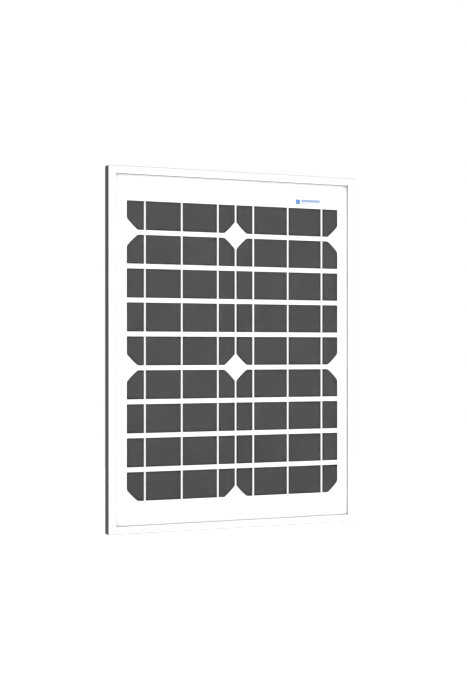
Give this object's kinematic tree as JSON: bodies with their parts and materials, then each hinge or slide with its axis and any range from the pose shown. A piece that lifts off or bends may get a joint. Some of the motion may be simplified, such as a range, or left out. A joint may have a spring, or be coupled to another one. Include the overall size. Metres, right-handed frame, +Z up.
{
  "type": "solar panel",
  "caption": "Small framed solar panel: glass laminate with cut-cell strips in a mitred aluminium frame, with a rear junction box, cable glands and flange mounting holes.",
  "frame": {"origin": "centre of the rear mounting plane, the back of the frame's rear flanges", "axes": "+Y out of the back of the panel, +Z up along its long side, +X to the right as seen from the glass side; the glass faces -Y"},
  "size_m": [0.366, 0.017, 0.49],
  "materials": {
    "anodised_aluminium": "silver anodised, satin, with fine extrusion lines",
    "key_alloy": "plain mill finish",
    "edge_tape": "white foam tape, matte",
    "solar_glass": "low-iron tempered glass with a fine matt texture",
    "encapsulant": "clear laminated sheet",
    "backsheet_film": "white film, matte",
    "silicon_cell": "dark grey textured silicon with fine printed fingers",
    "tinned_copper": "bright tin, satin",
    "adhesive": "cured silicone, matte",
    "box_plastic": "fine moulded grain",
    "seal_rubber": "matte",
    "steel": "bright zinc",
    "diode_body": "moulded epoxy",
    "label_stock": "silver polyester film, blank"
  },
  "bodies": {
    "panel": {"frame_rail_left": "anodised_aluminium", "frame_rail_right": "anodised_aluminium", "frame_rail_bottom": "anodised_aluminium", "frame_rail_top": "anodised_aluminium", "corner_key_bottom_left": "key_alloy", "corner_key_top_left": "key_alloy", "corner_key_top_right": "key_alloy", "corner_key_bottom_right": "key_alloy", "edge_tape": "edge_tape", "front_glass": "solar_glass", "encapsulant_front": "encapsulant", "encapsulant_back": "encapsulant", "backsheet": "backsheet_film", "cell_c1_r1": "silicon_cell", "cell_c1_r2": "silicon_cell", "cell_c1_r3": "silicon_cell", "cell_c1_r4": "silicon_cell", "cell_c1_r5": "silicon_cell", "cell_c1_r6": "silicon_cell", "cell_c1_r7": "silicon_cell", "cell_c1_r8": "silicon_cell", "cell_c1_r9": "silicon_cell", "cell_c2_r1": "silicon_cell", "cell_c2_r2": "silicon_cell", "cell_c2_r3": "silicon_cell", "cell_c2_r4": "silicon_cell", "cell_c2_r5": "silicon_cell", "cell_c2_r6": "silicon_cell", "cell_c2_r7": "silicon_cell", "cell_c2_r8": "silicon_cell", "cell_c2_r9": "silicon_cell", "string_ribbon_c1_1": "tinned_copper", "string_ribbon_c1_2": "tinned_copper", "string_ribbon_c1_3": "tinned_copper", "string_ribbon_c2_1": "tinned_copper", "string_ribbon_c2_2": "tinned_copper", "string_ribbon_c2_3": "tinned_copper", "bus_link_bottom": "tinned_copper", "bus_lead_negative": "tinned_copper", "bus_lead_positive": "tinned_copper", "box_adhesive_pad": "adhesive", "box_base": "box_plastic", "box_lid_gasket": "seal_rubber", "hinge_pin_left": "steel", "hinge_pin_right": "steel", "terminal_negative": "tinned_copper", "gland_body_negative": "box_plastic", "gland_seal_negative": "seal_rubber", "terminal_positive": "tinned_copper", "gland_body_positive": "box_plastic", "gland_seal_positive": "seal_rubber", "bypass_diode": "diode_body", "rating_label": "label_stock"},
    "junction_box_lid": {"box_lid": "box_plastic"},
    "cable_nut_negative": {"gland_nut_negative": "box_plastic"},
    "cable_nut_positive": {"gland_nut_positive": "box_plastic"},
    "clamp_screw_negative": {"terminal_screw_negative": "steel"},
    "clamp_screw_positive": {"terminal_screw_positive": "steel"}
  },
  "joints": [
    {"name": "lid_hinge", "type": "hinge", "parent": "panel", "child": "junction_box_lid", "pos_m": [0, -0.0026, 0.219], "axis": [1, 0, 0], "range_deg": [0, 110]},
    {"name": "cable_nut_negative_turn", "type": "hinge", "parent": "panel", "child": "cable_nut_negative", "pos_m": [-0.015, -0.00525, 0.15], "axis": [0, 0, -1], "range_deg": [-270, 1050]},
    {"name": "cable_nut_positive_turn", "type": "hinge", "parent": "panel", "child": "cable_nut_positive", "pos_m": [0.015, -0.00525, 0.15], "axis": [0, 0, -1], "range_deg": [-270, 1050]},
    {"name": "clamp_screw_negative_turn", "type": "hinge", "parent": "panel", "child": "clamp_screw_negative", "pos_m": [-0.015, -0.006, 0.178], "axis": [0, 1, 0], "range_deg": [-1350, 630]},
    {"name": "clamp_screw_positive_turn", "type": "hinge", "parent": "panel", "child": "clamp_screw_positive", "pos_m": [0.015, -0.006, 0.178], "axis": [0, 1, 0], "range_deg": [-1350, 630]}
  ]
}
